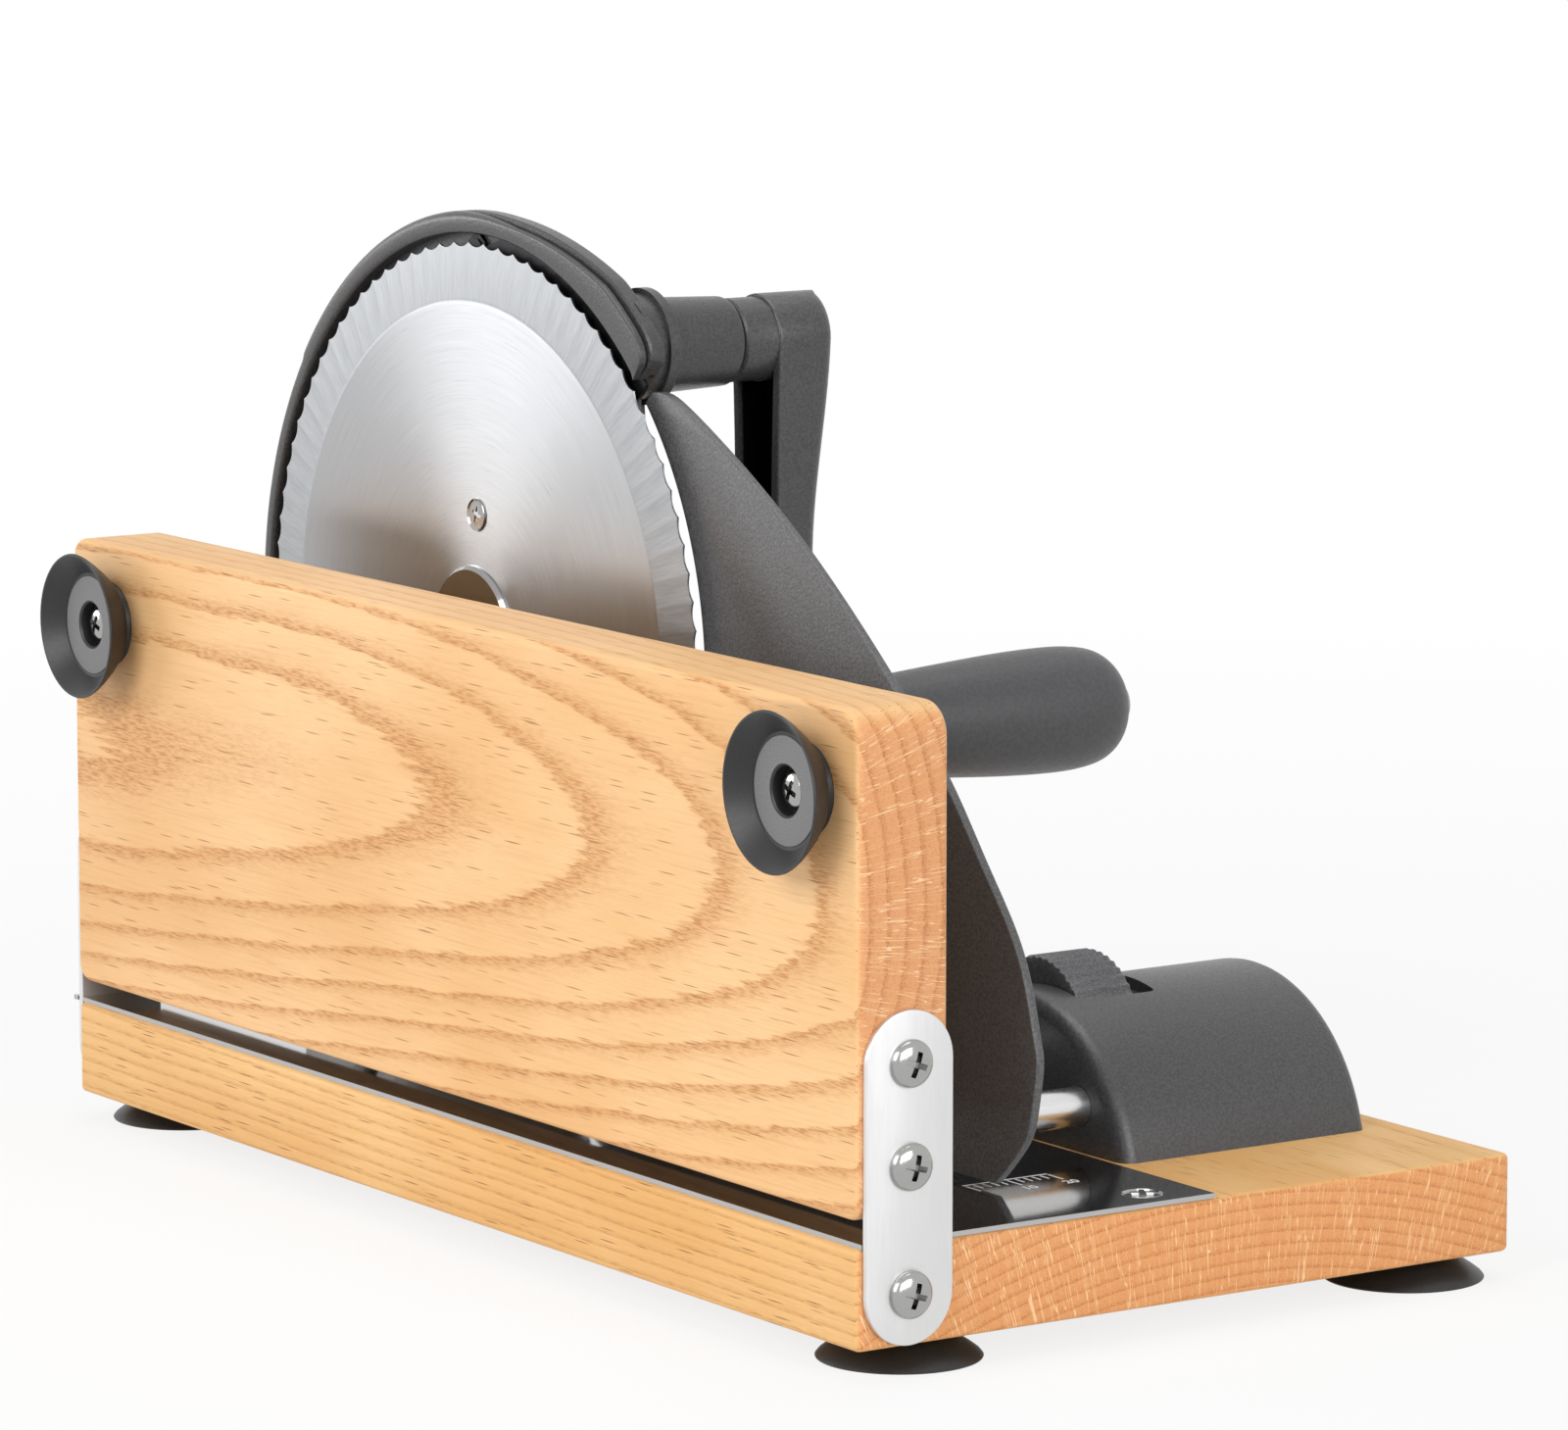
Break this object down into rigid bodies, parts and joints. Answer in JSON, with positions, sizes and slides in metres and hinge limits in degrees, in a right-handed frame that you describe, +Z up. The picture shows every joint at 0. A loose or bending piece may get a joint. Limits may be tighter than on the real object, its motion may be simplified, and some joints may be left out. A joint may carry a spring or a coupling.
{
  "type": "hand-cranked bread slicer",
  "caption": "Bread slicer on a wooden base, with a cranked round blade, a curved guard, a folding wooden board and a thickness stop moved by a thumbwheel.",
  "frame": {"origin": "centre of the base board's underside", "axes": "+X from the folding board towards the crank's grip, +Y along the base away from the user's end, +Z up"},
  "size_m": [0.188, 0.3125, 0.2057],
  "materials": {
    "oak": "oiled, fine sanded",
    "polished_steel": "polished",
    "brushed_steel": "brushed",
    "plain_steel": "plain",
    "black_coating": "fine textured coating",
    "black_plastic": "satin",
    "black_rubber": "matt",
    "white_nylon": "plain",
    "bronze": "plain"
  },
  "bodies": {
    "base": {"base_board": "oak", "slide_plate": "polished_steel", "slide_plate_screw_near": "plain_steel", "slide_plate_screw_far": "plain_steel", "pivot_screw_near": "plain_steel", "pivot_screw_far": "plain_steel", "foot_cup_1": "black_rubber", "foot_cup_2": "black_rubber", "foot_cup_3": "black_rubber", "foot_cup_4": "black_rubber", "foot_cup_screw_1": "plain_steel", "foot_cup_screw_2": "plain_steel", "foot_cup_screw_3": "plain_steel", "foot_cup_screw_4": "plain_steel", "blade_guard": "black_coating", "guard_lip": "black_coating", "guard_foot_screw_1": "plain_steel", "guard_foot_screw_2": "plain_steel", "gear_cover": "plain_steel", "gear_cover_rivet_1": "plain_steel", "gear_cover_rivet_2": "plain_steel", "blade_axle": "plain_steel", "idler_pin": "plain_steel", "crank_bush": "bronze", "adjuster_housing": "black_plastic", "housing_screw_1": "plain_steel", "housing_screw_2": "plain_steel", "guide_bracket": "plain_steel", "bracket_screw": "plain_steel"},
    "board": {"folding_board": "oak", "hinge_strap_near": "brushed_steel", "hinge_strap_far": "brushed_steel", "strap_screw_near_1": "plain_steel", "strap_screw_near_2": "plain_steel", "strap_screw_far_1": "plain_steel", "strap_screw_far_2": "plain_steel", "board_cup_near": "black_rubber", "board_cup_far": "black_rubber", "board_cup_screw_near": "plain_steel", "board_cup_screw_far": "plain_steel"},
    "crank": {"crank_gear": "plain_steel", "crank_shaft": "plain_steel", "crank_arm": "black_coating", "crank_screw": "plain_steel", "grip_rivet": "plain_steel"},
    "grip": {"crank_grip": "black_plastic"},
    "idler": {"idler_gear": "white_nylon"},
    "blade": {"blade": "brushed_steel", "blade_screw_1": "plain_steel", "blade_screw_2": "plain_steel", "blade_screw_3": "plain_steel", "blade_hub": "plain_steel", "hub_cap": "polished_steel", "blade_gear": "white_nylon"},
    "wheel": {"thumbwheel": "black_plastic"},
    "stop": {"stop_plate": "black_coating", "stop_carrier": "black_plastic", "guide_rod_1": "plain_steel", "guide_rod_2": "plain_steel", "lead_screw": "plain_steel"}
  },
  "joints": [
    {"name": "board_fold", "type": "hinge", "parent": "base", "child": "board", "pos_m": [-0.069, 0, 0.0105], "axis": [0, -1, 0], "range_deg": [0, 90]},
    {"name": "crank_turn", "type": "hinge", "parent": "base", "child": "crank", "pos_m": [0, 0.00802, 0.17516], "axis": [1, 0, 0], "continuous": true},
    {"name": "idler_turn", "type": "hinge", "parent": "base", "child": "idler", "pos_m": [-0.0272, 0.04403, 0.15775], "axis": [1, 0, 0], "continuous": true},
    {"name": "blade_spin", "type": "hinge", "parent": "base", "child": "blade", "pos_m": [-0.0331, 0.0594, 0.1082], "axis": [1, 0, 0], "continuous": true},
    {"name": "grip_spin", "type": "hinge", "parent": "crank", "child": "grip", "pos_m": [0.0558, 0.00802, 0.08996], "axis": [1, 0, 0], "continuous": true},
    {"name": "thumbwheel_turn", "type": "hinge", "parent": "base", "child": "wheel", "pos_m": [0.0248, -0.0755, 0.0392], "axis": [1, 0, 0], "range_deg": [-91, 631]},
    {"name": "stop_plate_slide", "type": "slide", "parent": "base", "child": "stop", "axis": [1, 0, 0], "range_m": [-0.0025, 0.0175]}
  ],
  "couplings": [
    {"joint": "idler_turn", "follows": "crank_turn", "ratio": -0.23077},
    {"joint": "blade_spin", "follows": "crank_turn", "ratio": 0.3871},
    {"joint": "thumbwheel_turn", "follows": "stop_plate_slide", "rad_per_m": 628.32}
  ]
}
